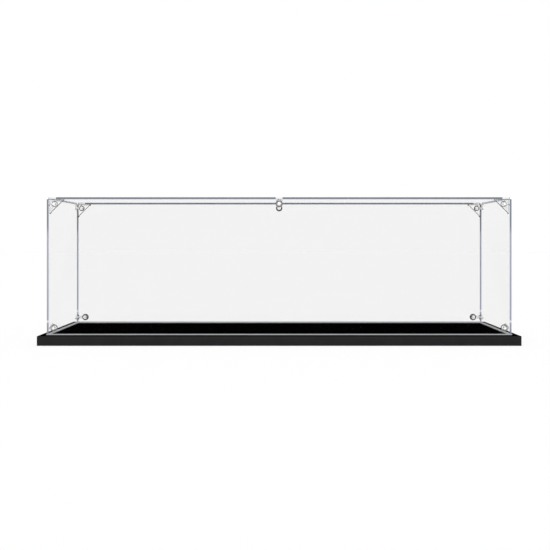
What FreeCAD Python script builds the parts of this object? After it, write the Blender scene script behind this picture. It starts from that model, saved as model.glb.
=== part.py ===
"""Long, low display case: a black base board and a clear acrylic cover that lifts off it.

The cover is five flat sheets. Moulded clear brackets clip them together at the corners
and edges, and each bracket peg is locked by a small headed pin. The feet of the four
walls wear thin U-shaped seal strips and stand in a groove cut in the board.

Millimetres. The origin is the centre of the underside, the front faces -Y, +Z is up.
"""
import FreeCAD, Part
import os

Vector = FreeCAD.Vector

# --- driving dimensions -------------------------------------------------------------
INNER_LENGTH = 482.0        # clear space between the two end walls
INNER_DEPTH = 102.0         # clear space between the front and back walls
COVER_TOP = 154.0           # height of the top sheet's upper face
SHEET = 2.0                 # thickness of every clear sheet
BOARD_THICK = 10.0          # base board
BOARD_MARGIN_ENDS = 7.0     # board showing outside the cover, left and right
BOARD_MARGIN_FRONT = 10.0   # board showing at the front, and the same at the back
BOARD_EDGE = 0.4            # chamfer broken on the board's edges
GROOVE_DEPTH = 3.55         # groove that the wall feet stand in
GROOVE_CLEARANCE = 0.3      # between the seal strips and each side of the groove
FIT_GAP = 0.05              # between clear parts that meet
SEAL_THICK = 0.45           # wall of the U-shaped seal strips
SEAL_SHOW = 0.75            # height of strip that shows above the board

PEG_DIAMETER = 4.0          # split pegs on the brackets
PEG_HOLE = 4.2              # holes in the sheets
SLIT_WIDTH = 0.5            # cross slits that let a peg spring
SLIT_DEPTH = 1.6
PIN_DIAMETER = 1.9          # locking pins
PIN_BORE = 2.0
PIN_HEAD = 2.9
PIN_HEAD_THICK = 0.5
PIN_HEAD_BORE = 3.0
PIN_SHORT = 0.3             # the pin stops this far short of the bracket's inner face

CORNER_LEG = 15.5           # corner bracket, along each edge
CORNER_WEB = 1.8            # its three triangular webs
CORNER_BOSS = 7.5           # round boss in each web
CORNER_BOSS_THICK = 2.2
CORNER_OFFSET = 5.0         # peg centre from each neighbouring inner face

DISC = 7.6                  # round end of an edge bracket
DISC_THICK = 2.2
NECK = 2.6                  # width of the strap between its two discs
NECK_THICK = 1.5
ARM_SHORT = 4.7             # peg centre from the inner corner, short arm
ARM_LONG = 9.0              # the same, long arm
FOOT_BRACKET_Z = 17.0       # height of the lower brackets

# --- worked out from them -----------------------------------------------------------
HALF_LENGTH = INNER_LENGTH / 2
HALF_DEPTH = INNER_DEPTH / 2
CEILING = COVER_TOP - SHEET
OUTER_HALF_LENGTH = HALF_LENGTH + SHEET
OUTER_HALF_DEPTH = HALF_DEPTH + SHEET
GROOVE_FLOOR = BOARD_THICK - GROOVE_DEPTH
SEAL_BOTTOM = GROOVE_FLOOR + FIT_GAP
SEAL_TOP = BOARD_THICK + SEAL_SHOW
SEAL_REACH = FIT_GAP + SEAL_THICK
WALL_BOTTOM = SEAL_BOTTOM + SEAL_THICK + FIT_GAP
WALL_TOP = CEILING - FIT_GAP
SIDES = (("left", -1), ("right", 1))
FACES = (("front", -1), ("back", 1))
X = Vector(1, 0, 0)
Y = Vector(0, 1, 0)
Z = Vector(0, 0, 1)


# --- helpers ------------------------------------------------------------------------
def block(low, high):
    """Solid box between two opposite corners."""
    size = [high[i] - low[i] for i in range(3)]
    return Part.makeBox(*size, Vector(*low))


def prism(points, sweep):
    """Solid made by sweeping a closed outline of straight edges along a vector."""
    outline = Part.makePolygon(list(points) + [points[0]])
    return Part.Face(outline).extrude(sweep)


def rod(diameter, start, sweep):
    """Round bar from a point along a vector."""
    return Part.makeCylinder(diameter / 2, sweep.Length, start, sweep)


def frame_between(outer, inner, bottom, top):
    """Rectangular ring, given the half sizes of its outside and of its opening."""
    ring = block((-outer[0], -outer[1], bottom), (outer[0], outer[1], top))
    return ring.cut(block((-inner[0], -inner[1], bottom), (inner[0], inner[1], top)))


def grown(reach):
    """Half sizes of the walls' outside and inside, each moved off the sheet by reach."""
    outer = (OUTER_HALF_LENGTH + reach, OUTER_HALF_DEPTH + reach)
    inner = (HALF_LENGTH - reach, HALF_DEPTH - reach)
    return outer, inner


def write(name, shape):
    """Save one node, as one solid or a compound of separate solids."""
    shape.exportStep("parts/" + name + ".step")


# --- pegs, pins and brackets --------------------------------------------------------
def stud(spot, inward, diameter, thick):
    """Round boss on a sheet's inner face with the peg that fills the sheet's hole."""
    face = spot + inward * FIT_GAP
    boss = rod(diameter, face, inward * (thick - FIT_GAP))
    peg = rod(PEG_DIAMETER, face, -inward * (SHEET + FIT_GAP))
    return boss.fuse(peg)


def stud_cutouts(spot, inward, across, thick):
    """Bore, head recess and cross slits of one peg."""
    outside = spot - inward * SHEET
    cuts = [rod(PIN_BORE, outside, inward * (SHEET + thick))]
    cuts.append(rod(PIN_HEAD_BORE, outside, inward * (PIN_HEAD_THICK + FIT_GAP)))
    for direction in (across, across.cross(inward)):
        arm = direction * (PEG_DIAMETER / 2)
        half = direction.cross(inward) * (SLIT_WIDTH / 2)
        outline = [outside - arm - half, outside + arm - half, outside + arm + half, outside - arm + half]
        cuts.append(prism(outline, inward * SLIT_DEPTH))
    return cuts


def pin(spot, inward, thick):
    """Headed pin that locks a peg; its head lies flush with the sheet's outer face."""
    outside = spot - inward * SHEET
    shaft = rod(PIN_DIAMETER, outside, inward * (SHEET + thick - PIN_SHORT))
    return shaft.fuse(rod(PIN_HEAD, outside, inward * PIN_HEAD_THICK))


def corner_bracket(side, face):
    """Three-way bracket in a top corner: three triangular webs, each with a stud."""
    corner = Vector(side * HALF_LENGTH, face * HALF_DEPTH, CEILING)
    inwards = (X * -side, Y * -face, Z * -1)
    origin = corner + (inwards[0] + inwards[1] + inwards[2]) * FIT_GAP
    solids = []
    cuts = []
    for k in range(3):
        normal = inwards[k]
        along = inwards[(k + 1) % 3]
        other = inwards[(k + 2) % 3]
        triangle = [origin, origin + along * CORNER_LEG, origin + other * CORNER_LEG]
        solids.append(prism(triangle, normal * (CORNER_WEB - FIT_GAP)))
        spot = corner + (along + other) * CORNER_OFFSET
        solids.append(stud(spot, normal, CORNER_BOSS, CORNER_BOSS_THICK))
        cuts.extend(stud_cutouts(spot, normal, along, CORNER_BOSS_THICK))
    return solids[0].fuse(solids[1:]).removeSplitter().cut(cuts)


def edge_bracket(corner, first, second, first_arm, second_arm):
    """Two-way bracket round an inner edge.

    Its first arm runs along the vector first, against the sheet that second points away
    from, and its second arm the other way about.
    """
    edge = first.cross(second)
    half = edge * (NECK / 2)
    solids = []
    cuts = []
    for along, inward, reach in ((first, second, first_arm), (second, first, second_arm)):
        start = corner + (along + inward) * FIT_GAP
        end = start + along * reach
        strap = [start - half, end - half, end + half, start + half]
        solids.append(prism(strap, inward * (NECK_THICK - FIT_GAP)))
        spot = corner + along * reach
        solids.append(stud(spot, inward, DISC, DISC_THICK))
        cuts.extend(stud_cutouts(spot, inward, along, DISC_THICK))
    return solids[0].fuse(solids[1:]).removeSplitter().cut(cuts)


def foot_bracket(side, face):
    """Edge bracket low down between an end wall and the front or back wall.

    At the front its short arm lies on the front wall. At the back it is turned over, so
    its long arm lies on the back wall.
    """
    corner = Vector(side * HALF_LENGTH, face * HALF_DEPTH, FOOT_BRACKET_Z)
    wall_arm, end_arm = foot_arms(face)
    return edge_bracket(corner, X * -side, Y * -face, wall_arm, end_arm)


def foot_arms(face):
    """Arm on the front or back wall, then the arm on the end wall."""
    if face < 0:
        return ARM_SHORT, ARM_LONG
    return ARM_LONG, ARM_SHORT


def top_edge_bracket(face):
    """Edge bracket at mid length: short arm on the front or back wall, long arm on the top."""
    corner = Vector(0, face * HALF_DEPTH, CEILING)
    return edge_bracket(corner, Z * -1, Y * -face, ARM_SHORT, ARM_LONG)


# --- where the pegs pass through each sheet -----------------------------------------
def long_wall_spots(face):
    """Peg centres on the inner face of the front or back wall, with boss thicknesses."""
    y = face * HALF_DEPTH
    wall_arm, _ = foot_arms(face)
    spots = [(Vector(0, y, CEILING - ARM_SHORT), DISC_THICK)]
    for _, side in SIDES:
        top_spot = Vector(side * (HALF_LENGTH - CORNER_OFFSET), y, CEILING - CORNER_OFFSET)
        foot_spot = Vector(side * (HALF_LENGTH - wall_arm), y, FOOT_BRACKET_Z)
        spots.append((top_spot, CORNER_BOSS_THICK))
        spots.append((foot_spot, DISC_THICK))
    return spots


def end_wall_spots(side):
    """Peg centres on the inner face of an end wall."""
    x = side * HALF_LENGTH
    spots = []
    for _, face in FACES:
        _, end_arm = foot_arms(face)
        top_spot = Vector(x, face * (HALF_DEPTH - CORNER_OFFSET), CEILING - CORNER_OFFSET)
        foot_spot = Vector(x, face * (HALF_DEPTH - end_arm), FOOT_BRACKET_Z)
        spots.append((top_spot, CORNER_BOSS_THICK))
        spots.append((foot_spot, DISC_THICK))
    return spots


def top_spots():
    """Peg centres on the underside of the top sheet."""
    spots = []
    for _, face in FACES:
        spots.append((Vector(0, face * (HALF_DEPTH - ARM_LONG), CEILING), DISC_THICK))
        for _, side in SIDES:
            x = side * (HALF_LENGTH - CORNER_OFFSET)
            spots.append((Vector(x, face * (HALF_DEPTH - CORNER_OFFSET), CEILING), CORNER_BOSS_THICK))
    return spots


def drilled(sheet, spots, inward):
    """Sheet with a clearance hole at each peg."""
    holes = [rod(PEG_HOLE, spot, -inward * SHEET) for spot, _ in spots]
    return sheet.cut(holes)


def pins(spots, inward):
    """The pins of one sheet, as separate solids in one group."""
    return Part.makeCompound([pin(spot, inward, thick) for spot, thick in spots])


# --- sheets, strips and board -------------------------------------------------------
def long_wall(face):
    """Front or back sheet, held between the two end walls."""
    near = min(face * HALF_DEPTH, face * OUTER_HALF_DEPTH)
    half = HALF_LENGTH - FIT_GAP
    sheet = block((-half, near, WALL_BOTTOM), (half, near + SHEET, WALL_TOP))
    return drilled(sheet, long_wall_spots(face), Y * -face)


def end_wall(side):
    """Left or right sheet, as deep as the cover."""
    near = min(side * HALF_LENGTH, side * OUTER_HALF_LENGTH)
    low = (near, -OUTER_HALF_DEPTH, WALL_BOTTOM)
    high = (near + SHEET, OUTER_HALF_DEPTH, WALL_TOP)
    return drilled(block(low, high), end_wall_spots(side), X * -side)


def top_sheet():
    """Sheet that lies over the edges of all four walls."""
    low = (-OUTER_HALF_LENGTH, -OUTER_HALF_DEPTH, CEILING)
    high = (OUTER_HALF_LENGTH, OUTER_HALF_DEPTH, COVER_TOP)
    return drilled(block(low, high), top_spots(), Z * -1)


def seal_ring():
    """Ring of U section round the feet of all four walls."""
    outer, inner = grown(SEAL_REACH)
    slot_outer, slot_inner = grown(FIT_GAP)
    ring = frame_between(outer, inner, SEAL_BOTTOM, SEAL_TOP)
    return ring.cut(frame_between(slot_outer, slot_inner, SEAL_BOTTOM + SEAL_THICK, SEAL_TOP))


def seal_strip(ring, along, outward):
    """One wall's strip, cut from the ring with a mitre at each end."""
    outer, inner = grown(SEAL_REACH)
    out_reach = abs(outward.dot(Vector(*outer, 0)))
    in_reach = abs(outward.dot(Vector(*inner, 0)))
    out_half = abs(along.dot(Vector(*outer, 0))) - FIT_GAP
    in_half = abs(along.dot(Vector(*inner, 0))) - FIT_GAP
    outline = [
        outward * out_reach - along * out_half,
        outward * out_reach + along * out_half,
        outward * in_reach + along * in_half,
        outward * in_reach - along * in_half,
    ]
    low_outline = [corner + Z * SEAL_BOTTOM for corner in outline]
    return ring.common(prism(low_outline, Z * (SEAL_TOP - SEAL_BOTTOM)))


def base_board():
    """Board with broken edges and the groove for the wall feet."""
    half_length = OUTER_HALF_LENGTH + BOARD_MARGIN_ENDS
    half_depth = OUTER_HALF_DEPTH + BOARD_MARGIN_FRONT
    board = block((-half_length, -half_depth, 0), (half_length, half_depth, BOARD_THICK))
    board = board.makeChamfer(BOARD_EDGE, board.Edges)
    outer, inner = grown(SEAL_REACH + GROOVE_CLEARANCE)
    return board.cut(frame_between(outer, inner, GROOVE_FLOOR, BOARD_THICK))


def main():
    """Write every node."""
    os.makedirs("parts", exist_ok=True)
    write("base_board", base_board())
    write("top_panel", top_sheet())
    write("top_panel_pins", pins(top_spots(), Z * -1))
    ring = seal_ring()
    for name, face in FACES:
        write(name + "_panel", long_wall(face))
        write(name + "_panel_pins", pins(long_wall_spots(face), Y * -face))
        write("seal_" + name, seal_strip(ring, X, Y * face))
        write("top_edge_bracket_" + name, top_edge_bracket(face))
    for name, side in SIDES:
        write(name + "_panel", end_wall(side))
        write(name + "_panel_pins", pins(end_wall_spots(side), X * -side))
        write("seal_" + name, seal_strip(ring, Y, X * side))
        for face_name, face in FACES:
            write("corner_bracket_" + face_name + "_" + name, corner_bracket(side, face))
            write("foot_bracket_" + face_name + "_" + name, foot_bracket(side, face))


main()
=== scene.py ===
"""Looks of a long, low display case: black base board, lift-off clear acrylic cover.

Every piece is modelled in millimetres about the case's own origin (centre of the
underside, front towards -Y, +Z up) and is scaled to metres when it is finished.
"""

from __future__ import annotations

import logging
import math
from collections.abc import Callable, Iterable, Sequence
from dataclasses import dataclass, field
from enum import Enum, IntEnum
from functools import partial

import bmesh
import bpy
from mathutils import Matrix, Vector

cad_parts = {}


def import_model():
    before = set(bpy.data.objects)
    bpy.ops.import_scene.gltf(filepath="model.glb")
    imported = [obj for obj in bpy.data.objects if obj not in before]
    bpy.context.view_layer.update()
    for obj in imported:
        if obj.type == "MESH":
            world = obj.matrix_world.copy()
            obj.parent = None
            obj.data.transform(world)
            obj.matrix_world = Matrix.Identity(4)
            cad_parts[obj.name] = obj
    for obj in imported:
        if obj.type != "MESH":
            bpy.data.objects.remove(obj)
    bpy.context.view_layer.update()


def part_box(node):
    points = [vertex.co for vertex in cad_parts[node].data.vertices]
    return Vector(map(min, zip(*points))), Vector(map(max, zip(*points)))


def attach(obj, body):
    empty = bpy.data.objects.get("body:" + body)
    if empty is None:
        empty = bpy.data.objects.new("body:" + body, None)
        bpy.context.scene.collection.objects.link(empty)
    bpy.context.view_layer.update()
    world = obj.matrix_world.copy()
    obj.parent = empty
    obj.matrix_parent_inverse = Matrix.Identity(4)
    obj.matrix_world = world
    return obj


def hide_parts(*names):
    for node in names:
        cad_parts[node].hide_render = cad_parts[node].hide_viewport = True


log = logging.getLogger("display_case")

MM_PER_M = 1000.0
X = Vector((1.0, 0.0, 0.0))
Y = Vector((0.0, 1.0, 0.0))
Z = Vector((0.0, 0.0, 1.0))
AXES = (X, Y, Z)
GRAIN_DETAIL = 4.0
GRAIN_SPREAD = (0.3, 0.7)


class Body(Enum):
    """Rigid bodies of the case."""

    BASE = "base"
    COVER = "cover"


class Sheet(Enum):
    """The cover's sheets, each with the direction it faces out of the case."""

    FRONT = (0, -1, 0)
    BACK = (0, 1, 0)
    LEFT = (-1, 0, 0)
    RIGHT = (1, 0, 0)
    TOP = (0, 0, 1)

    @property
    def label(self) -> str:
        """Lower-case name, as used in node and piece names."""
        return self.name.lower()

    @property
    def outward(self) -> Vector:
        """Unit vector out of the case."""
        return Vector(self.value)

    @property
    def inward(self) -> Vector:
        """Unit vector into the case."""
        return -self.outward


WALLS = (Sheet.FRONT, Sheet.BACK, Sheet.LEFT, Sheet.RIGHT)
LONG_WALLS = (Sheet.FRONT, Sheet.BACK)
END_WALLS = (Sheet.LEFT, Sheet.RIGHT)


class Slot(Enum):
    """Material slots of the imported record."""

    SHEET = "clear_sheet"
    MOULDED = "moulded_clear"
    PIN = "pin_plastic"
    SEAL = "seal_strip"
    BOARD = "black_board"


class Wear(IntEnum):
    """Which of a piece's finishes a face wears; the numbers are the piece's material slots."""

    FACE = 0
    # On the brackets, RIM, CUT and FAINT wear painted shade.
    RIM = 1
    CUT = 2
    FAINT = 3


# --- reading the frame --------------------------------------------------------------
@dataclass(frozen=True)
class Box:
    """Lowest and highest corner, in millimetres."""

    low: Vector
    high: Vector

    @classmethod
    def of_node(cls, node: str) -> Box:
        """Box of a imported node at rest."""
        low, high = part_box(node)
        return cls(low * MM_PER_M, high * MM_PER_M)

    @property
    def size(self) -> Vector:
        """Extents along X, Y and Z."""
        return self.high - self.low

    @property
    def centre(self) -> Vector:
        """Middle of the box."""
        return (self.low + self.high) / 2


@dataclass(frozen=True)
class Inside:
    """The cover's inner faces, which every bracket is placed from."""

    half_length: float
    half_depth: float
    ceiling: float
    sheet: float
    foot_height: float

    @classmethod
    def read(cls) -> Inside:
        """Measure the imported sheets.

        Returns:
            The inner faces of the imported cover.
        """
        top = Box.of_node("top_panel")
        return cls(
            half_length=Box.of_node("right_panel").low.x,
            half_depth=Box.of_node("back_panel").low.y,
            ceiling=top.low.z,
            sheet=top.size.z,
            foot_height=Box.of_node("foot_bracket_front_left").centre.z,
        )

    def corner(self, long_wall: Sheet, end_wall: Sheet, height: float) -> Vector:
        """Point at a height above the underside where a long wall's and an end wall's inner faces meet."""
        point = long_wall.outward * self.half_depth + end_wall.outward * self.half_length
        return point + Z * height

    def moulded_rule(self, centre: Vector, normal: Vector) -> Wear:
        """Choose a bracket face's finish: rims wear painted shade, dark on the long walls and faint
        elsewhere, and are absent on pegs.

        Args:
            centre: the face's middle.
            normal: its direction.

        Returns:
            The finish.
        """
        square_on = 0.995
        wall_layer = 2.3
        past_end = abs(centre.x) > self.half_length
        past_wall = abs(centre.y) > self.half_depth
        in_hole = past_end or past_wall or centre.z > self.ceiling
        if in_hole or not slanted(normal, AXES, square_on):
            return Wear.FACE
        # Painted shade: faint on rims away from the long walls, dark on rims by them.
        if abs(centre.y) < self.half_depth - wall_layer:
            return Wear.FAINT
        cuts = ((X + Z).normalized(), (X - Z).normalized())
        return Wear.RIM if slanted(normal, cuts, square_on) else Wear.CUT


@dataclass(frozen=True)
class Stud:
    """One peg: where it enters a sheet's inner face, and which way the case's inside is."""

    spot: Vector
    inward: Vector
    boss_thick: float


# --- modelling helpers --------------------------------------------------------------
def deselect_all() -> None:
    """Leave edit mode and deselect every object."""
    active = bpy.context.view_layer.objects.active
    if active is not None and active.mode != "OBJECT":
        bpy.ops.object.mode_set(mode="OBJECT")
    bpy.ops.object.select_all(action="DESELECT")


def pick(*pieces: bpy.types.Object) -> None:
    """Select these objects alone and make the first one active."""
    deselect_all()
    for piece in pieces:
        piece.select_set(True)
    bpy.context.view_layer.objects.active = pieces[0]


def settle(name: str) -> bpy.types.Object:
    """Name the primitive just added and apply its place, turn and size.

    Args:
        name: name for the object and its mesh.

    Returns:
        The object, with its place in its mesh.
    """
    piece = bpy.context.view_layer.objects.active
    piece.name = name
    piece.data.name = name
    pick(piece)
    bpy.ops.object.transform_apply(location=True, rotation=True, scale=True)
    return piece


def add_block(name: str, low: Vector, high: Vector) -> bpy.types.Object:
    """Block between two opposite corners.

    Args:
        name: name of the piece.
        low: lowest corner.
        high: highest corner.

    Returns:
        The block.
    """
    deselect_all()
    bpy.ops.mesh.primitive_cube_add(size=1.0, location=(low + high) / 2)
    bpy.context.view_layer.objects.active.scale = high - low
    return settle(name)


def add_rod(name: str, start: Vector, sweep: Vector, diameter: float, sides: int = 48) -> bpy.types.Object:
    """Round bar along a vector.

    Args:
        name: name of the piece.
        start: centre of its first end.
        sweep: from the first end to the other.
        diameter: across the bar.
        sides: flats round it.

    Returns:
        The bar.
    """
    deselect_all()
    turn = sweep.to_track_quat("Z", "Y").to_euler()
    bpy.ops.mesh.primitive_cylinder_add(
        vertices=sides, radius=diameter / 2, depth=sweep.length, location=start + sweep / 2, rotation=turn
    )
    return settle(name)


def select_faces(piece: bpy.types.Object, wanted: Callable[[Vector, Vector], bool]) -> None:
    """Enter edit mode with some faces selected.

    Args:
        piece: the object to edit.
        wanted: given a face's centre and normal, says whether it is selected.
    """
    pick(piece)
    bpy.ops.object.mode_set(mode="EDIT")
    bpy.ops.mesh.select_mode(type="FACE")
    bpy.ops.mesh.select_all(action="DESELECT")
    mesh = bmesh.from_edit_mesh(piece.data)
    for face in mesh.faces:
        face.select_set(wanted(face.calc_center_median(), face.normal))
    bmesh.update_edit_mesh(piece.data)


def inset(thickness: float) -> None:
    """Inset the selected face."""
    bpy.ops.mesh.inset(thickness=thickness, depth=0.0, use_even_offset=True)


def push(offset: Vector) -> None:
    """Extrude the selected faces by an offset."""
    bpy.ops.mesh.extrude_region_move(TRANSFORM_OT_translate={"value": tuple(offset)})


def saw(piece: bpy.types.Object, point: Vector, waste: Vector) -> None:
    """Cut a piece on a plane and close the cut.

    Args:
        piece: the piece to cut.
        point: a point on the plane.
        waste: the plane's normal, towards the side that is thrown away.
    """
    pick(piece)
    bpy.ops.object.mode_set(mode="EDIT")
    bpy.ops.mesh.select_all(action="SELECT")
    bpy.ops.mesh.bisect(plane_co=point, plane_no=waste, use_fill=True, clear_outer=True)
    bpy.ops.object.mode_set(mode="OBJECT")


def soften(piece: bpy.types.Object, width: float, segments: int = 3, angle: float = 40.0) -> None:
    """Round a piece's sharp edges.

    Args:
        piece: the piece to round.
        width: of the rounding.
        segments: steps across it.
        angle: edges sharper than this, in degrees, are rounded.
    """
    apply_modifier(
        piece,
        "BEVEL",
        width=width,
        segments=segments,
        limit_method="ANGLE",
        angle_limit=math.radians(angle),
        use_clamp_overlap=True,
    )


def apply_modifier(piece: bpy.types.Object, kind: str, **settings: object) -> None:
    """Add a modifier and apply it at once.

    Args:
        piece: the piece it works on.
        kind: Blender's name for the modifier type.
        **settings: its properties.
    """
    pick(piece)
    modifier = piece.modifiers.new(kind.lower(), kind)
    for key, value in settings.items():
        setattr(modifier, key, value)
    bpy.ops.object.modifier_apply(modifier=modifier.name)


def combine(piece: bpy.types.Object, others: Iterable[bpy.types.Object], operation: str) -> None:
    """Add other solids to a piece, or cut them from it, and remove them.

    Args:
        piece: the piece that is kept.
        others: solids used up by the operation.
        operation: "UNION" or "DIFFERENCE".
    """
    for other in others:
        apply_modifier(piece, "BOOLEAN", operation=operation, object=other, solver="MANIFOLD")
        bpy.data.objects.remove(other)


def copy_of(piece: bpy.types.Object, name: str, place: Matrix) -> bpy.types.Object:
    """Copy a piece, with a mesh of its own, to another place.

    Args:
        piece: the pattern.
        name: name of the copy.
        place: where the copy goes.

    Returns:
        The copy, with its place in its mesh.
    """
    double = piece.copy()
    double.data = piece.data.copy()
    bpy.context.scene.collection.objects.link(double)
    double.matrix_world = place
    bpy.context.view_layer.objects.active = double
    return settle(name)


def axes_at(origin: Vector, columns: Sequence[Vector]) -> Matrix:
    """Placement at an origin whose local X, Y and Z run along three directions, a right-handed set."""
    turn = Matrix(columns).transposed().to_4x4()
    return Matrix.Translation(origin) @ turn


# Says which of a dress's finishes a face wears, given its centre in millimetres and its normal.
Rule = Callable[[Vector, Vector], Wear]


@dataclass(frozen=True)
class Dress:
    """What a piece wears: its record slot and its finishes, which a rule chooses between for each face."""

    slot: Slot
    finishes: Sequence[bpy.types.Material]

    def put_on(self, piece: bpy.types.Object, rule: Rule) -> None:
        """Give a piece its materials.

        Args:
            piece: the piece to dress, in metres.
            rule: chooses each face's finish.
        """
        piece.data.materials.clear()
        for finish in self.finishes:
            piece.data.materials.append(finish)
        for face in piece.data.polygons:
            face.material_index = rule(face.center * MM_PER_M, face.normal)


def all_over(centre: Vector, normal: Vector) -> Wear:
    """Rule for a piece that wears one finish."""
    return Wear.FACE


def slanted(normal: Vector, ways: Iterable[Vector], square_on: float) -> bool:
    """Whether a face looks along none of some directions, either way."""
    return all(abs(normal.dot(way)) < square_on for way in ways)


def finish_piece(
    piece: bpy.types.Object, dress: Dress, rule: Rule, body: Body, node: str
) -> bpy.types.Object:
    """Clean a piece's mesh, scale it to metres, dress it and hand it to the frame.

    Args:
        piece: the modelled piece, in millimetres.
        dress: its materials.
        rule: chooses each face's finish.
        body: the body that it moves with.
        node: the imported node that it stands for.

    Returns:
        The finished piece.
    """
    weld = 1e-4
    smooth_under = 35.0
    pick(piece)
    bpy.ops.object.mode_set(mode="EDIT")
    bpy.ops.mesh.select_all(action="SELECT")
    bpy.ops.mesh.remove_doubles(threshold=weld)
    bpy.ops.mesh.normals_make_consistent(inside=False)
    bpy.ops.object.mode_set(mode="OBJECT")
    piece.scale = (1 / MM_PER_M,) * 3
    bpy.ops.object.transform_apply(location=True, rotation=True, scale=True)
    bpy.ops.object.shade_smooth_by_angle(angle=math.radians(smooth_under))
    dress.put_on(piece, rule)
    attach(piece, body.value)
    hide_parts(node)
    log.info("%s: %d faces, on %s", piece.name, len(piece.data.polygons), body.value)
    return piece


# --- finishes -----------------------------------------------------------------------
def new_material(name: str) -> tuple[bpy.types.Material, bpy.types.NodeTree, bpy.types.Node]:
    """Empty Principled material.

    Args:
        name: the material's name.

    Returns:
        The material, its node tree and its Principled node.
    """
    material = bpy.data.materials.new(name)
    material.use_nodes = True
    tree = material.node_tree
    return material, tree, tree.nodes["Principled BSDF"]


def grain_group() -> bpy.types.NodeTree:
    """Shared effect: fine uneven grain, for roughness and bump.

    Returns:
        A group with inputs Scale, Low and High, and outputs Value and Height.
    """
    group = bpy.data.node_groups.new("fine_grain", "ShaderNodeTree")
    for name in ("Scale", "Low", "High"):
        group.interface.new_socket(name, in_out="INPUT", socket_type="NodeSocketFloat")
    for name in ("Value", "Height"):
        group.interface.new_socket(name, in_out="OUTPUT", socket_type="NodeSocketFloat")
    nodes = group.nodes
    links = group.links
    entry = nodes.new("NodeGroupInput")
    leave = nodes.new("NodeGroupOutput")
    place = nodes.new("ShaderNodeTexCoord")
    noise = nodes.new("ShaderNodeTexNoise")
    noise.inputs["Detail"].default_value = GRAIN_DETAIL
    spread = nodes.new("ShaderNodeMapRange")
    spread.inputs["From Min"].default_value, spread.inputs["From Max"].default_value = GRAIN_SPREAD
    links.new(place.outputs["Object"], noise.inputs["Vector"])
    links.new(entry.outputs["Scale"], noise.inputs["Scale"])
    links.new(noise.outputs["Fac"], spread.inputs["Value"])
    links.new(entry.outputs["Low"], spread.inputs["To Min"])
    links.new(entry.outputs["High"], spread.inputs["To Max"])
    links.new(spread.outputs["Result"], leave.inputs["Value"])
    links.new(noise.outputs["Fac"], leave.inputs["Height"])
    return group


def place_grain(
    tree: bpy.types.NodeTree, group: bpy.types.NodeTree, scale: float, low: float, high: float
) -> bpy.types.Node:
    """Put the grain group into a material with its own values.

    Args:
        tree: the material's node tree.
        group: the grain group.
        scale: repeats in each metre.
        low: value in the hollows.
        high: value on the peaks.

    Returns:
        The group node.
    """
    node = tree.nodes.new("ShaderNodeGroup")
    node.node_tree = group
    node.inputs["Scale"].default_value = scale
    node.inputs["Low"].default_value = low
    node.inputs["High"].default_value = high
    return node


def feed(tree: bpy.types.NodeTree, socket: bpy.types.NodeSocket, value: object) -> None:
    """Link a socket to another one, or set it to a plain number.

    Args:
        tree: the material's node tree.
        socket: the input to feed.
        value: a socket or a number.
    """
    if isinstance(value, bpy.types.NodeSocket):
        tree.links.new(value, socket)
    else:
        socket.default_value = value


def maths(tree: bpy.types.NodeTree, operation: str, *values: object) -> bpy.types.NodeSocket:
    """One Math node, fed by sockets or plain numbers.

    Args:
        tree: the material's node tree.
        operation: what the node works out.
        *values: its inputs, in order.

    Returns:
        The result.
    """
    node = tree.nodes.new("ShaderNodeMath")
    node.operation = operation
    for socket, value in zip(node.inputs, values):
        feed(tree, socket, value)
    return node.outputs["Value"]


def mixed_colour(
    tree: bpy.types.NodeTree, low: Sequence[float], high: Sequence[float], share: bpy.types.NodeSocket
) -> bpy.types.NodeSocket:
    """Colour that changes over a surface.

    Args:
        tree: the material's node tree.
        low: colour where the share is 0.
        high: colour where the share is 1.
        share: how much of the high colour shows.

    Returns:
        The mixed colour.
    """
    mix = tree.nodes.new("ShaderNodeMix")
    mix.data_type = "RGBA"
    mix.inputs["A"].default_value = (*low, 1.0)
    mix.inputs["B"].default_value = (*high, 1.0)
    tree.links.new(share, mix.inputs["Factor"])
    return mix.outputs["Result"]


def height_share(tree: bpy.types.NodeTree, low: float, high: float) -> bpy.types.NodeSocket:
    """Share that rises from 0 to 1 between two heights on a piece.

    Args:
        tree: the material's node tree.
        low: height in metres where it starts to rise.
        high: height in metres where it ends.

    Returns:
        The share.
    """
    place = tree.nodes.new("ShaderNodeTexCoord")
    split = tree.nodes.new("ShaderNodeSeparateXYZ")
    rise = tree.nodes.new("ShaderNodeMapRange")
    rise.interpolation_type = "SMOOTHSTEP"
    rise.inputs["From Min"].default_value = low
    rise.inputs["From Max"].default_value = high
    tree.links.new(place.outputs["Object"], split.inputs["Vector"])
    tree.links.new(split.outputs["Z"], rise.inputs["Value"])
    return rise.outputs["Result"]


def add_bump(tree: bpy.types.NodeTree, shader: bpy.types.Node, grain: bpy.types.Node, depth: float) -> None:
    """Bump a shader's normal with the grain.

    Args:
        tree: the material's node tree.
        shader: the Principled node.
        grain: the grain group node.
        depth: height of the relief in metres.
    """
    bump = tree.nodes.new("ShaderNodeBump")
    bump.inputs["Distance"].default_value = depth
    tree.links.new(grain.outputs["Height"], bump.inputs["Height"])
    tree.links.new(bump.outputs["Normal"], shader.inputs["Normal"])


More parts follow.
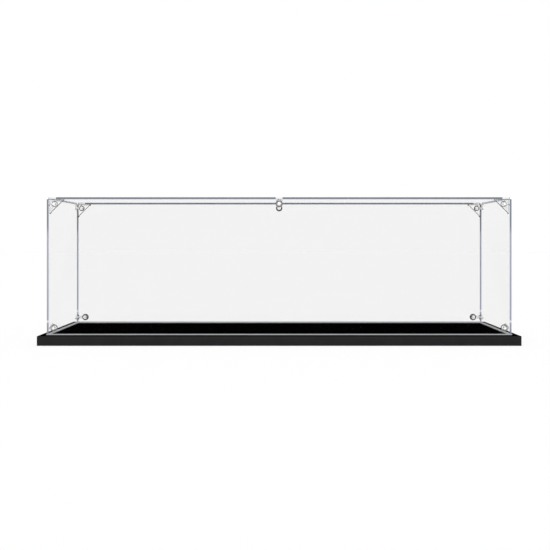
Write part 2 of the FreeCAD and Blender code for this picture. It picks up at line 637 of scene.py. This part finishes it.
@dataclass(frozen=True)
class PaneFinish:
    """Polished clear sheet: shows what is behind it and mirrors more at a slant."""

    name: str = "clear_sheet"
    tint: Sequence[float] = (1.0, 1.0, 1.0)
    ior: float = 1.49
    mirror_share: float = 0.75
    mirror_limit: float = 0.04
    wipe_scale: float = 25.0
    wipe_roughness: tuple[float, float] = (0.01, 0.04)

    def material(self, grain: bpy.types.NodeTree) -> bpy.types.Material:
        """Build the finish.

        Args:
            grain: the shared grain group.

        Returns:
            The material.
        """
        material, tree, mirror = new_material(self.name)
        mirror.inputs["Metallic"].default_value = 1.0
        mirror.inputs["Base Color"].default_value = (1.0, 1.0, 1.0, 1.0)
        wipe = place_grain(tree, grain, self.wipe_scale, *self.wipe_roughness)
        tree.links.new(wipe.outputs["Value"], mirror.inputs["Roughness"])
        clear = tree.nodes.new("ShaderNodeBsdfTransparent")
        clear.inputs["Color"].default_value = (*self.tint, 1.0)
        mix = tree.nodes.new("ShaderNodeMixShader")
        tree.links.new(self._mirrored(tree), mix.inputs["Fac"])
        tree.links.new(clear.outputs["BSDF"], mix.inputs[1])
        tree.links.new(mirror.outputs["BSDF"], mix.inputs[2])
        tree.links.new(mix.outputs["Shader"], tree.nodes["Material Output"].inputs["Surface"])
        return material

    def _mirrored(self, tree: bpy.types.NodeTree) -> bpy.types.NodeSocket:
        """Share of light mirrored, the same on the way in and on the way out of the sheet.

        Args:
            tree: the material's node tree.

        Returns:
            The share.
        """
        side = tree.nodes.new("ShaderNodeNewGeometry")
        bend = tree.nodes.new("ShaderNodeMix")
        bend.inputs["A"].default_value = self.ior
        bend.inputs["B"].default_value = 1 / self.ior
        slant = tree.nodes.new("ShaderNodeFresnel")
        tree.links.new(side.outputs["Backfacing"], bend.inputs["Factor"])
        tree.links.new(bend.outputs["Result"], slant.inputs["IOR"])
        share = maths(tree, "MULTIPLY", slant.outputs["Fac"], self.mirror_share)
        return maths(tree, "MINIMUM", share, self.mirror_limit)


@dataclass(frozen=True)
class PaintedHighlights:
    """Painted highlights: places along one axis of a piece where its rim's colour is painted bright, for the
    light that a peg or a notch would throw on it.
    """

    axis: str
    centres: Sequence[float]
    half_width: float
    colour: Sequence[float] = (0.62, 0.62, 0.65)
    blur: float = 0.0006

    def over(self, tree: bpy.types.NodeTree, colour: bpy.types.NodeSocket) -> bpy.types.NodeSocket:
        """Lay the painted highlights over a colour.

        Args:
            tree: the material's node tree.
            colour: the rim's own colour.

        Returns:
            The colour with the spots.
        """
        place = tree.nodes.new("ShaderNodeTexCoord")
        split = tree.nodes.new("ShaderNodeSeparateXYZ")
        tree.links.new(place.outputs["Object"], split.inputs["Vector"])
        total = None
        for centre in self.centres:
            offset = maths(tree, "SUBTRACT", split.outputs[self.axis], centre)
            near = maths(tree, "SUBTRACT", self.half_width, maths(tree, "ABSOLUTE", offset))
            edge = tree.nodes.new("ShaderNodeMapRange")
            edge.inputs["From Min"].default_value = 0.0
            edge.inputs["From Max"].default_value = self.blur
            tree.links.new(near, edge.inputs["Value"])
            here = edge.outputs["Result"]
            total = here if total is None else maths(tree, "MAXIMUM", total, here)
        mix = tree.nodes.new("ShaderNodeMix")
        mix.data_type = "RGBA"
        mix.inputs["B"].default_value = (*self.colour, 1.0)
        tree.links.new(colour, mix.inputs["A"])
        tree.links.new(total, mix.inputs["Factor"])
        return mix.outputs["Result"]


@dataclass(frozen=True)
class SatinFinish:
    """Plastic with a fine grain: rims, strips, pins, moulded faces and the board."""

    name: str
    low: Sequence[float]
    high: Sequence[float]
    roughness: tuple[float, float]
    # Heights over which the colour changes: painted shade, used on the wall rims.
    heights: tuple[float, float] | None = None
    grain_scale: float = 900.0
    grain_depth: float = 0.00001
    cloud_factor: float = 0.1
    specular: float = 0.5
    opacity: float = 1.0
    # Painted highlights laid over the colour.
    spots: Sequence[PaintedHighlights] = ()

    def material(self, grain: bpy.types.NodeTree) -> bpy.types.Material:
        """Build the finish.

        Args:
            grain: the shared grain group.

        Returns:
            The material, whose colour follows heights if it has them, as painted shade, or else the grain,
            with any painted highlights laid over it.
        """
        material, tree, shader = new_material(self.name)
        rough = place_grain(tree, grain, self.grain_scale, *self.roughness)
        tree.links.new(rough.outputs["Value"], shader.inputs["Roughness"])
        if self.heights is None:
            share = place_grain(tree, grain, self.grain_scale * self.cloud_factor, 0.0, 1.0).outputs["Value"]
        else:
            share = height_share(tree, *self.heights)
        colour = mixed_colour(tree, self.low, self.high, share)
        for spots in self.spots:
            colour = spots.over(tree, colour)
        tree.links.new(colour, shader.inputs["Base Color"])
        shader.inputs["Specular IOR Level"].default_value = self.specular
        shader.inputs["Alpha"].default_value = self.opacity
        add_bump(tree, shader, rough, self.grain_depth)
        return material


# --- base board ---------------------------------------------------------------------
@dataclass
class BaseBoard:
    """Board with a groove for the wall feet."""

    edge_round: float = 0.35
    groove_clearance: float = 0.3
    foot_gap: float = 0.05
    overrun: float = 1.0
    square_on: float = 0.95

    def build(self) -> bpy.types.Object:
        """Model the board.

        Returns:
            The board, in millimetres.
        """
        box = Box.of_node("base_board")
        front = Box.of_node("seal_front")
        side = Box.of_node("seal_left")
        clear = self.groove_clearance
        outer = Vector((-side.low.x + clear, -front.low.y + clear, 0))
        inner = Vector((-side.high.x - clear, -front.high.y - clear, 0))
        floor = front.low.z - self.foot_gap
        top = box.high.z
        board = add_block("board", box.low, box.high)
        over = self.overrun
        low = Vector((-inner.x, -inner.y, floor - over))
        island = add_block("island", low, Vector((inner.x, inner.y, top + 2 * over)))
        low = Vector((-outer.x, -outer.y, floor))
        groove = add_block("groove", low, Vector((outer.x, outer.y, top + over)))
        combine(groove, [island], "DIFFERENCE")
        combine(board, [groove], "DIFFERENCE")
        soften(board, self.edge_round)
        return board

    def make(self, dress: Dress) -> None:
        """Model and dress the board."""
        finish_piece(self.build(), dress, self._rule, Body.BASE, "base_board")

    def _rule(self, centre: Vector, normal: Vector) -> Wear:
        """Finish of a face: upright and rounded ones wear the rim's, level ones the near-black painted
        shade.
        """
        return Wear.RIM if slanted(normal, [Z], self.square_on) else Wear.FACE


# --- clear sheets -------------------------------------------------------------------
@dataclass
class ClearSheets:
    """The five clear sheets, drilled for the bracket pegs."""

    studs: Sequence[Stud]
    hole: float = 4.2
    arris: float = 0.12
    overrun: float = 1.0
    square_on: float = 0.9
    edge_band: float = 0.5

    def build(self, sheet: Sheet, thick: float) -> bpy.types.Object:
        """Model one sheet.

        Args:
            sheet: which one.
            thick: its thickness.

        Returns:
            The sheet, in millimetres.
        """
        box = Box.of_node(f"{sheet.label}_panel")
        piece = add_block(f"sheet_{sheet.label}", box.low, box.high)
        soften(piece, self.arris, segments=2)
        drills = []
        for stud in studs_through(self.studs, sheet):
            start = stud.spot + sheet.inward * self.overrun
            drills.append(add_rod("drill", start, sheet.outward * (thick + 2 * self.overrun), self.hole))
        pick(*drills)
        bpy.ops.object.join()
        combine(piece, [bpy.context.view_layer.objects.active], "DIFFERENCE")
        return piece

    def make(self, dresses: dict[Sheet, Dress], thick: float) -> None:
        """Model and dress all five sheets.

        Args:
            dresses: what each sheet wears.
            thick: the sheets' thickness.
        """
        for sheet in Sheet:
            rule = partial(self._rule, sheet, Box.of_node(f"{sheet.label}_panel"))
            finish_piece(self.build(sheet, thick), dresses[sheet], rule, Body.COVER, f"{sheet.label}_panel")

    def _rule(self, sheet: Sheet, box: Box, centre: Vector, normal: Vector) -> Wear:
        """Choose a face's finish: cut edges are rims, peg holes and the long walls' hidden ends are clear.

        Args:
            sheet: which sheet.
            box: its packed box.
            centre: the face's middle.
            normal: its direction.

        Returns:
            The finish.
        """
        ways = [X, Y] if sheet in LONG_WALLS else [sheet.outward]
        in_plane = [i for i in range(3) if not sheet.value[i]]
        margins = [min(centre[i] - box.low[i], box.high[i] - centre[i]) for i in in_plane]
        at_edge = min(margins) < self.edge_band
        return Wear.RIM if at_edge and slanted(normal, ways, self.square_on) else Wear.FACE


def studs_through(studs: Iterable[Stud], sheet: Sheet) -> list[Stud]:
    """The pegs that pass through one sheet."""
    square_on = 0.9
    return [stud for stud in studs if stud.inward.dot(sheet.inward) > square_on]


# --- seal strips --------------------------------------------------------------------
@dataclass
class SealStrips:
    """U-shaped strips on the wall feet, mitred at the corners."""

    skin: float = 0.45
    mitre_gap: float = 0.05
    edge_round: float = 0.12
    sharp_over: float = 50.0
    overrun: float = 1.0

    def build_ring(self) -> bpy.types.Object:
        """Model the whole ring before it is cut into strips.

        Returns:
            A rectangular ring of U section.
        """
        front = Box.of_node("seal_front")
        side = Box.of_node("seal_left")
        wide = front.size.y
        skin = self.skin
        floor = front.low.z
        corner = Vector((-side.low.x, -front.low.y, front.high.z))
        ring = self._slab("seal_ring", corner, 0.0, floor)
        over = Z * self.overrun
        slot = self._slab("slot", corner + over, skin, floor + skin)
        rib = self._slab("rib", corner + over * 2, wide - skin, floor)
        combine(slot, [rib], "DIFFERENCE")
        core = self._slab("core", corner + over * 2, wide, floor - self.overrun)
        combine(ring, [core, slot], "DIFFERENCE")
        return ring

    def _slab(self, name: str, corner: Vector, inset_by: float, floor: float) -> bpy.types.Object:
        """Block centred on the case, from a floor up to a corner, moved in from its sides."""
        far = corner - (X + Y) * inset_by
        return add_block(name, Vector((-far.x, -far.y, floor)), far)

    def build(self, ring: bpy.types.Object, wall: Sheet) -> bpy.types.Object:
        """Cut one wall's strip from a copy of the ring.

        Args:
            ring: the whole ring.
            wall: the wall that the strip belongs to.

        Returns:
            The strip, in millimetres.
        """
        strip = copy_of(ring, f"strip_{wall.label}", Matrix.Identity(4))
        front = Box.of_node("seal_front")
        side = Box.of_node("seal_left")
        outward = wall.outward
        along = outward.cross(Z)
        saw(strip, Vector(), -outward)
        for end in (along, -along):
            reach = Vector((abs(side.low.x), abs(front.low.y), 0))
            corner = Vector([reach[i] * (outward[i] + end[i]) for i in range(3)])
            waste = (end - outward).normalized()
            saw(strip, corner - waste * self.mitre_gap, waste)
        soften(strip, self.edge_round, segments=2, angle=self.sharp_over)
        return strip

    def make(self, long: Dress, end: Dress) -> None:
        """Model and dress all four strips.

        Args:
            long: what the long walls' strips wear.
            end: what the end walls' strips wear.
        """
        ring = self.build_ring()
        for wall in WALLS:
            dress = long if wall in LONG_WALLS else end
            finish_piece(self.build(ring, wall), dress, all_over, Body.COVER, f"seal_{wall.label}")
        bpy.data.objects.remove(ring)


# --- pegs, shared by both kinds of bracket ------------------------------------------
@dataclass(frozen=True)
class Peg:
    """Split hollow peg that fills a sheet's hole."""

    sheet: float
    diameter: float = 4.0
    bore: float = 2.0
    head_bore: float = 3.0
    head_depth: float = 0.55
    slit: float = 0.5
    slit_depth: float = 1.6
    gap: float = 0.05
    dome: float = 1.6
    dome_steps: int = 5
    shank_round: float = 0.12
    overlap: float = 1.0
    slit_reach: float = 0.6
    boss_sides: int = 64
    bore_sides: int = 32

    def solids(self, stud: Stud, boss: float) -> list[bpy.types.Object]:
        """Boss and peg at one stud.

        Args:
            stud: where they go.
            boss: diameter of the boss.

        Returns:
            The boss and the peg.
        """
        face = stud.spot + stud.inward * self.gap
        rise = stud.inward * (stud.boss_thick - self.gap)
        disc = add_rod("boss", face, rise, boss, sides=self.boss_sides)
        self._dome(disc, stud)
        root = face + stud.inward * self.overlap
        shank = add_rod("shank", root, -stud.inward * (self.sheet + self.gap + self.overlap), self.diameter)
        soften(shank, self.shank_round, segments=2)
        return [disc, shank]

    def _dome(self, disc: bpy.types.Object, stud: Stud) -> None:
        """Round the boss's edge that stands away from the sheet.

        Args:
            disc: the boss.
            stud: where it is.
        """
        square_on = 0.5
        select_faces(disc, lambda centre, normal: normal.dot(stud.inward) > square_on)
        bpy.ops.mesh.bevel(offset=self.dome, segments=self.dome_steps, affect="EDGES")
        bpy.ops.object.mode_set(mode="OBJECT")

    def cutters(self, stud: Stud, along: Vector) -> list[bpy.types.Object]:
        """Bore, head recess and cross slits of one stud.

        Args:
            stud: where they go.
            along: direction of one slit.

        Returns:
            The solids to cut away.
        """
        outside = stud.spot - stud.inward * self.sheet
        start = outside - stud.inward * self.overlap
        through = self.sheet + stud.boss_thick + 2 * self.overlap
        cuts = [add_rod("bore", start, stud.inward * through, self.bore, sides=self.bore_sides)]
        recess = stud.inward * (self.head_depth + self.overlap)
        cuts.append(add_rod("recess", start, recess, self.head_bore))
        for direction in (along, along.cross(stud.inward)):
            across = direction.cross(stud.inward)
            half = direction * self.diameter * self.slit_reach + across * (self.slit / 2)
            half = Vector([abs(value) for value in half])
            ends = (start, outside + stud.inward * self.slit_depth)
            low = Vector([min(ends[0][i], ends[1][i]) - half[i] for i in range(3)])
            high = Vector([max(ends[0][i], ends[1][i]) + half[i] for i in range(3)])
            cuts.append(add_block("slit", low, high))
        return cuts


# --- corner brackets ----------------------------------------------------------------
@dataclass
class CornerBrackets:
    """Three-way brackets in the top corners: triangular webs with a boss in each."""

    inside: Inside
    peg: Peg
    leg: float = 15.5
    web: float = 1.8
    boss: float = 7.5
    boss_thick: float = 2.2
    offset: float = 5.0
    edge_round: float = 0.35

    def places(self) -> dict[str, Matrix]:
        """Work out where the brackets go.

        Returns:
            Each one's placement, by the end of its node's name.
        """
        found = {}
        for wall in LONG_WALLS:
            for end in END_WALLS:
                corner = self.inside.corner(wall, end, self.inside.ceiling)
                columns = [end.inward, wall.inward, -Z]
                if columns[0].cross(columns[1]).dot(columns[2]) < 0:
                    columns = [wall.inward, end.inward, -Z]
                found[f"{wall.label}_{end.label}"] = axes_at(corner, columns)
        return found

    def local_studs(self) -> list[Stud]:
        """Studs of a bracket whose corner is the origin and whose sheets are behind it."""
        spots = [(AXES[(k + 1) % 3] + AXES[(k + 2) % 3]) * self.offset for k in range(3)]
        return [Stud(spot, inward, self.boss_thick) for spot, inward in zip(spots, AXES)]

    def studs(self) -> list[Stud]:
        """Studs of all four brackets in place."""
        return [placed(stud, place) for place in self.places().values() for stud in self.local_studs()]

    def build(self) -> bpy.types.Object:
        """Model one bracket with its corner at the origin.

        Returns:
            The bracket, in millimetres.
        """
        near = Vector((1, 1, 1)) * self.peg.gap
        far = near + Vector((self.leg, self.leg, self.web - self.peg.gap))
        bracket = add_block("web", near, far)
        saw(bracket, near + X * self.leg, (X + Y).normalized())
        soften(bracket, self.edge_round)
        turns = (axes_at(Vector(), (Y, Z, X)), axes_at(Vector(), (Z, X, Y)))
        parts = [copy_of(bracket, "web", turn) for turn in turns]
        cuts = []
        for k, stud in enumerate(self.local_studs()):
            parts.extend(self.peg.solids(stud, self.boss))
            cuts.extend(self.peg.cutters(stud, AXES[(k + 1) % 3]))
        combine(bracket, parts, "UNION")
        combine(bracket, cuts, "DIFFERENCE")
        return bracket

    def make(self, dress: Dress) -> None:
        """Model one bracket, copy it to the four corners and dress each.

        Args:
            dress: what they wear.
        """
        pattern = self.build()
        for where, place in self.places().items():
            piece = copy_of(pattern, f"bracket_corner_{where}", place)
            finish_piece(piece, dress, self.inside.moulded_rule, Body.COVER, f"corner_bracket_{where}")
        bpy.data.objects.remove(pattern)


def placed(stud: Stud, place: Matrix) -> Stud:
    """A stud moved by a placement."""
    return Stud(place @ stud.spot, (place.to_3x3() @ stud.inward).normalized(), stud.boss_thick)


# --- edge brackets ------------------------------------------------------------------
@dataclass
class EdgeBrackets:
    """Two-way brackets: two discs joined round an inner edge by a narrow strap."""

    inside: Inside
    peg: Peg
    disc: float = 7.6
    disc_thick: float = 2.2
    strap: float = 2.6
    strap_thick: float = 1.5
    short_arm: float = 4.7
    long_arm: float = 9.0
    edge_round: float = 0.35

    def places(self) -> dict[str, Matrix]:
        """Work out where the brackets go, local X along the short arm and local Y along the long arm.

        Returns:
            Each one's placement, by its node's name.
        """
        found = {}
        for wall in LONG_WALLS:
            for end in END_WALLS:
                corner = self.inside.corner(wall, end, self.inside.foot_height)
                short, long = self._foot_arms(wall, end)
                place = axes_at(corner, (short, long, short.cross(long)))
                found[f"foot_bracket_{wall.label}_{end.label}"] = place
            corner = wall.outward * self.inside.half_depth + Z * self.inside.ceiling
            short, long = -Z, wall.inward
            found[f"top_edge_bracket_{wall.label}"] = axes_at(corner, (short, long, short.cross(long)))
        return found

    def _foot_arms(self, wall: Sheet, end: Sheet) -> tuple[Vector, Vector]:
        """Directions of a foot bracket's arms: the short one lies on the front wall or on an end wall.

        Args:
            wall: the long wall that the bracket joins.
            end: the end wall that it joins.

        Returns:
            The short arm's direction and the long arm's.
        """
        if wall is Sheet.FRONT:
            return end.inward, wall.inward
        return wall.inward, end.inward

    def local_studs(self) -> list[Stud]:
        """Studs of a bracket at the origin."""
        spots = (X * self.short_arm, Y * self.long_arm)
        return [Stud(spot, inward, self.disc_thick) for spot, inward in zip(spots, (Y, X))]

    def studs(self) -> list[Stud]:
        """Studs of all the edge brackets in place."""
        return [placed(stud, place) for place in self.places().values() for stud in self.local_studs()]

    def build(self) -> bpy.types.Object:
        """Model one bracket at the origin.

        Returns:
            The bracket, in millimetres.
        """
        gap = self.peg.gap
        half = self.strap / 2
        straps = [
            add_block("strap", Vector((gap, gap, -half)), Vector((self.short_arm, self.strap_thick, half))),
            add_block("strap", Vector((gap, gap, -half)), Vector((self.strap_thick, self.long_arm, half))),
        ]
        for strap in straps:
            soften(strap, self.edge_round)
        parts = straps[1:]
        cuts = []
        for stud in self.local_studs():
            parts.extend(self.peg.solids(stud, self.disc))
            cuts.extend(self.peg.cutters(stud, Z))
        bracket = straps[0]
        combine(bracket, parts, "UNION")
        combine(bracket, cuts, "DIFFERENCE")
        return bracket

    def make(self, dress: Dress) -> None:
        """Model one bracket, copy it to each edge and dress each.

        Args:
            dress: what they wear.
        """
        pattern = self.build()
        for node, place in self.places().items():
            piece = copy_of(pattern, node.replace("_bracket", "_clip"), place)
            finish_piece(piece, dress, self.inside.moulded_rule, Body.COVER, node)
        bpy.data.objects.remove(pattern)


# --- locking pins -------------------------------------------------------------------
@dataclass
class LockingPins:
    """Headed pins pressed into the pegs from outside."""

    studs: Sequence[Stud]
    sheet: float
    boss_thick: float = 2.2
    head: float = 2.9
    head_thick: float = 0.5
    shaft: float = 1.9
    short: float = 0.3
    dimple: float = 0.15
    edge_round: float = 0.12
    sides: int = 32

    def build(self) -> bpy.types.Object:
        """Model one pin: its head's outer face is on the origin and it points along +Z.

        Returns:
            The pin, in millimetres.
        """
        pin = add_rod("pin", Vector(), Z * self.head_thick, self.head, sides=self.sides)
        square_on = 0.5
        select_faces(pin, lambda centre, normal: normal.z > square_on)
        inset((self.head - self.shaft) / 2)
        push(Z * (self.sheet + self.boss_thick - self.short - self.head_thick))
        bpy.ops.object.mode_set(mode="OBJECT")
        select_faces(pin, lambda centre, normal: normal.z < -square_on)
        inset(self.head / 4)
        push(Z * self.dimple)
        bpy.ops.object.mode_set(mode="OBJECT")
        soften(pin, self.edge_round, segments=2)
        return pin

    def make(self, dress: Dress) -> None:
        """Model one pin, copy it to every peg and join each sheet's pins into one piece.

        Args:
            dress: what they wear.
        """
        pattern = self.build()
        for sheet in Sheet:
            group = []
            for stud in studs_through(self.studs, sheet):
                outside = stud.spot + sheet.outward * self.sheet
                turn = stud.inward.to_track_quat("Z", "Y").to_matrix().to_4x4()
                group.append(copy_of(pattern, f"pins_{sheet.label}", Matrix.Translation(outside) @ turn))
            pick(*group)
            bpy.ops.object.join()
            piece = bpy.context.view_layer.objects.active
            piece.name = f"pins_{sheet.label}"
            finish_piece(piece, dress, all_over, Body.COVER, f"{sheet.label}_panel_pins")
        bpy.data.objects.remove(pattern)


# --- studio -------------------------------------------------------------------------
@dataclass
class Studio:
    """Pale floor, even light and the camera, in metres and degrees."""

    floor_radius: float = 6.0
    floor_sides: int = 96
    floor_colour: float = 0.8
    ambient: float = 0.25
    lamp_tilt: float = 40.0
    lamp_softness: float = 60.0
    mirror_high: float = 0.45
    high_span: tuple[float, float] = (0.3, 0.9)
    mirror_behind: float = 0.35
    behind_span: tuple[float, float] = (0.90, 0.95)
    camera_place: Vector = field(default_factory=lambda: Vector((0.0, -0.765, 0.1092)))
    lens: float = 44.57
    shift: tuple[float, float] = (-0.0076, -0.0636)
    sensor: float = 36.0
    near: float = 0.01
    bounces: int = 16
    clear_bounces: int = 64

    def floor(self) -> None:
        """Pale round floor that blends into the surroundings."""
        deselect_all()
        bpy.ops.mesh.primitive_circle_add(
            vertices=self.floor_sides, radius=self.floor_radius, fill_type="NGON"
        )
        floor = bpy.context.view_layer.objects.active
        floor.name = "floor"
        material, tree, shader = new_material("floor")
        tree.nodes.remove(shader)
        matt = tree.nodes.new("ShaderNodeBsdfDiffuse")
        matt.inputs["Color"].default_value = (self.floor_colour,) * 3 + (1.0,)
        tree.links.new(matt.outputs["BSDF"], tree.nodes["Material Output"].inputs["Surface"])
        floor.data.materials.append(material)
        floor.visible_glossy = False

    def lamp(self) -> None:
        """Even shadowless light from in front and above, which brings the floor up to the surroundings."""
        tilt = math.radians(self.lamp_tilt)
        lamp = bpy.data.lights.new("fill", "SUN")
        lamp.energy = (1.0 / self.floor_colour - self.ambient) * math.pi / math.cos(tilt)
        lamp.use_shadow = False
        lamp.angle = math.radians(self.lamp_softness)
        holder = bpy.data.objects.new("fill", lamp)
        holder.rotation_euler = (tilt, 0.0, 0.0)
        holder.visible_glossy = False
        bpy.context.scene.collection.objects.link(holder)

    def surroundings(self) -> None:
        """Surroundings that are seen as white and mirrored as dark in front and grey overhead and behind."""
        world = bpy.data.worlds.new("studio")
        bpy.context.scene.world = world
        world.use_nodes = True
        tree = world.node_tree
        sky = tree.nodes["Background"]
        sky.inputs["Color"].default_value = (1.0, 1.0, 1.0, 1.0)
        path = tree.nodes.new("ShaderNodeLightPath")
        place = tree.nodes.new("ShaderNodeTexCoord")
        way = tree.nodes.new("ShaderNodeSeparateXYZ")
        tree.links.new(place.outputs["Generated"], way.inputs["Vector"])
        first_hit = 0.5
        first = maths(tree, "LESS_THAN", path.outputs["Diffuse Depth"], first_hit)
        direct = maths(tree, "MULTIPLY", path.outputs["Is Camera Ray"], first)
        mirrored = maths(tree, "MULTIPLY", path.outputs["Is Glossy Ray"], first)
        overhead = self._rise(tree, way.outputs["Z"], self.high_span, self.mirror_high)
        behind = self._rise(tree, way.outputs["Y"], self.behind_span, self.mirror_behind)
        mirror = maths(tree, "MAXIMUM", overhead, behind)
        level = self._blend(tree, self.ambient, 1.0, direct)
        level = self._blend(tree, level, mirror, mirrored)
        tree.links.new(level, sky.inputs["Strength"])

    def _rise(
        self, tree: bpy.types.NodeTree, value: bpy.types.NodeSocket, span: tuple[float, float], top: float
    ) -> bpy.types.NodeSocket:
        """Smooth rise from 0 to a top level.

        Args:
            tree: the node tree.
            value: what it depends on.
            span: where it starts and ends.
            top: the level that it ends at.

        Returns:
            The level.
        """
        rise = tree.nodes.new("ShaderNodeMapRange")
        rise.interpolation_type = "SMOOTHSTEP"
        rise.inputs["From Min"].default_value = span[0]
        rise.inputs["From Max"].default_value = span[1]
        rise.inputs["To Max"].default_value = top
        tree.links.new(value, rise.inputs["Value"])
        return rise.outputs["Result"]

    def _blend(
        self, tree: bpy.types.NodeTree, first: object, second: object, share: object
    ) -> bpy.types.NodeSocket:
        """Mix two numbers.

        Args:
            tree: the node tree.
            first: number where the share is 0.
            second: number where the share is 1.
            share: how much of the second one counts.

        Returns:
            The mixed number.
        """
        node = tree.nodes.new("ShaderNodeMix")
        feed(tree, node.inputs["Factor"], share)
        feed(tree, node.inputs["A"], first)
        feed(tree, node.inputs["B"], second)
        return node.outputs["Result"]

    def camera(self) -> None:
        """Level camera straight in front of the case."""
        lens = bpy.data.cameras.new("camera")
        lens.lens = self.lens
        lens.sensor_width = self.sensor
        lens.shift_x, lens.shift_y = self.shift
        lens.clip_start = self.near
        holder = bpy.data.objects.new("camera", lens)
        holder.location = self.camera_place
        holder.rotation_euler = (math.radians(90), 0, 0)
        bpy.context.scene.collection.objects.link(holder)
        bpy.context.scene.camera = holder

    def build(self) -> None:
        """Set up the whole studio."""
        self.floor()
        self.lamp()
        self.surroundings()
        self.camera()
        scene = bpy.context.scene
        scene.view_settings.view_transform = "Standard"
        scene.cycles.max_bounces = self.bounces
        scene.cycles.transparent_max_bounces = self.clear_bounces


# --- the whole case -----------------------------------------------------------------
# Wall rims: the colour is painted darker above 112 to 126 mm as painted shade, and a painted highlight
# brightens a band at 24 mm.
WALL_EDGE = SatinFinish(
    name="wall_edge",
    low=(0.28, 0.288, 0.353),
    high=(0.152, 0.168, 0.205),
    roughness=(0.25, 0.4),
    heights=(0.112, 0.126),
    specular=0.3,
    spots=(PaintedHighlights("Z", (0.024,), 0.0013),),
)
# Top sheet's rims: painted highlights by the pegs at the middle and near each end, and brighter near-white
# painted highlights at the two ends.
TOP_EDGE = SatinFinish(
    name="top_edge",
    low=(0.145, 0.162, 0.195),
    high=(0.165, 0.182, 0.215),
    roughness=(0.25, 0.4),
    specular=0.3,
    spots=(
        PaintedHighlights("X", (-0.237, 0.0, 0.237), 0.0039),
        PaintedHighlights("X", (-0.2432, 0.2432), 0.0022, colour=(0.92, 0.925, 0.94)),
    ),
)
MOULDED_FACE = SatinFinish(
    name="moulded_clear",
    low=(0.68, 0.68, 0.68),
    high=(0.74, 0.74, 0.74),
    roughness=(0.12, 0.22),
    opacity=0.2,
)
# Painted shade on the brackets' rounded rims, which are the same clear plastic as their faces: darkest on
# the long walls, lighter on the diagonal faces there, faint elsewhere.
MOULDED_RIM_PAINTED_SHADE = SatinFinish(
    name="moulded_rim",
    low=(0.020, 0.020, 0.021),
    high=(0.035, 0.035, 0.036),
    roughness=(0.2, 0.35),
    specular=0.3,
    opacity=0.92,
)
MOULDED_CUT_PAINTED_SHADE = SatinFinish(
    name="moulded_cut",
    low=(0.075, 0.07, 0.068),
    high=(0.11, 0.104, 0.10),
    roughness=(0.2, 0.35),
    specular=0.3,
    opacity=0.6,
)
MOULDED_FAINT_PAINTED_SHADE = SatinFinish(
    name="moulded_faint",
    low=(0.24, 0.24, 0.244),
    high=(0.30, 0.30, 0.304),
    roughness=(0.2, 0.35),
    specular=0.3,
    opacity=0.22,
)
MOULDED = (MOULDED_FACE, MOULDED_RIM_PAINTED_SHADE, MOULDED_CUT_PAINTED_SHADE, MOULDED_FAINT_PAINTED_SHADE)
PIN_FACE = SatinFinish(
    name="pin_plastic",
    low=(0.72, 0.72, 0.72),
    high=(0.78, 0.78, 0.78),
    roughness=(0.25, 0.4),
)
# One seal material in two tones: the end walls' strips are painted much lighter than the long walls' strips,
# painted light on copies of one strip.
LONG_SEAL = SatinFinish(
    name="long_seal",
    low=(0.29, 0.302, 0.312),
    high=(0.33, 0.342, 0.352),
    roughness=(0.42, 0.6),
    specular=0.3,
)
END_SEAL_PAINTED_LIGHT = SatinFinish(
    name="end_seal",
    low=(0.64, 0.65, 0.66),
    high=(0.70, 0.71, 0.72),
    roughness=(0.42, 0.6),
    specular=0.3,
)
# Painted shade: the board's level faces are painted near-black, far darker than its upright faces, though
# the board is one black material.
BOARD_LEVEL_PAINTED_SHADE = SatinFinish(
    name="black_board",
    low=(0.0005, 0.0005, 0.0005),
    high=(0.0008, 0.0008, 0.0008),
    roughness=(0.5, 0.68),
    grain_depth=0.00002,
    specular=0.0,
)
BOARD_EDGE = SatinFinish(
    name="board_edge",
    low=(0.0138, 0.0138, 0.0141),
    high=(0.0160, 0.0160, 0.0163),
    roughness=(0.5, 0.68),
    grain_depth=0.00002,
    specular=0.0,
)


def main() -> None:
    """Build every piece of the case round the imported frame, then the studio."""
    logging.basicConfig(level=logging.INFO, format="%(message)s")
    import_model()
    grain = grain_group()
    inside = Inside.read()
    peg = Peg(sheet=inside.sheet)
    corners = CornerBrackets(inside, peg)
    edges = EdgeBrackets(inside, peg)
    studs = corners.studs() + edges.studs()
    moulded = Dress(Slot.MOULDED, [finish.material(grain) for finish in MOULDED])
    BaseBoard().make(Dress(Slot.BOARD, [BOARD_LEVEL_PAINTED_SHADE.material(grain), BOARD_EDGE.material(grain)]))
    pane = PaneFinish().material(grain)
    wall = Dress(Slot.SHEET, [pane, WALL_EDGE.material(grain)])
    lid = Dress(Slot.SHEET, [pane, TOP_EDGE.material(grain)])
    ClearSheets(studs).make({sheet: lid if sheet is Sheet.TOP else wall for sheet in Sheet}, inside.sheet)
    SealStrips().make(*[Dress(Slot.SEAL, [seal.material(grain)]) for seal in (LONG_SEAL, END_SEAL_PAINTED_LIGHT)])
    corners.make(moulded)
    edges.make(moulded)
    LockingPins(studs, inside.sheet).make(Dress(Slot.PIN, [PIN_FACE.material(grain)]))
    Studio().build()


if __name__ == "__main__":
    main()
